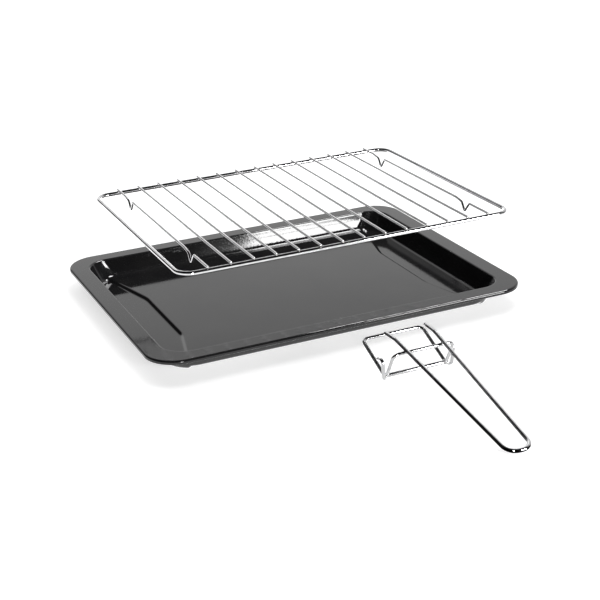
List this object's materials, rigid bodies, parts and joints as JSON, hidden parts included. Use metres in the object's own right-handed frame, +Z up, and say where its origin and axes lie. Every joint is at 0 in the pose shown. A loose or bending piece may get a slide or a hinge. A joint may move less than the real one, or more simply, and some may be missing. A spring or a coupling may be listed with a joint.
{
  "type": "toaster oven tray, rack and handle set",
  "caption": "Black enamelled baking tray with end gutters, chromed wire rack that drops into it, and chromed wire handle that grips and lifts the tray.",
  "frame": {"origin": "middle of the laid-out set, on the surface that it stands on", "axes": "+X along the tray's long edge, +Y from the handle's grip towards the tray's back edge, +Z up"},
  "size_m": [0.404, 0.5846, 0.1147],
  "materials": {
    "enamel": "glossy black vitreous enamel, fired in a hard smooth coat on pressed steel",
    "chrome_rack": "bright chromed steel wire",
    "chrome_handle": "bright chromed steel wire with small weld marks"
  },
  "bodies": {
    "tray": {"tray": "enamel"},
    "rack": {"rack_frame": "chrome_rack", "rack_cross_wire_02": "chrome_rack", "rack_cross_wire_03": "chrome_rack", "rack_cross_wire_04": "chrome_rack", "rack_cross_wire_05": "chrome_rack", "rack_cross_wire_06": "chrome_rack", "rack_cross_wire_07": "chrome_rack", "rack_cross_wire_08": "chrome_rack", "rack_cross_wire_09": "chrome_rack", "rack_cross_wire_10": "chrome_rack", "rack_cross_wire_11": "chrome_rack", "rack_cross_wire_12": "chrome_rack", "rack_cross_wire_13": "chrome_rack", "rack_leg_wire_left": "chrome_rack", "rack_leg_wire_right": "chrome_rack"},
    "handle": {"handle_base_loop": "chrome_handle", "handle_hook_wire": "chrome_handle", "handle_grip_wire": "chrome_handle"}
  },
  "joints": [
    {"name": "rack_lift", "type": "slide", "parent": "tray", "child": "rack", "axis": [-0.0144, -0.3409, 0.94], "range_m": [-0.10415, 0.06]},
    {"name": "handle_lift", "type": "slide", "parent": "tray", "child": "handle", "axis": [0, 0, 1], "range_m": [0, 0.2]}
  ]
}
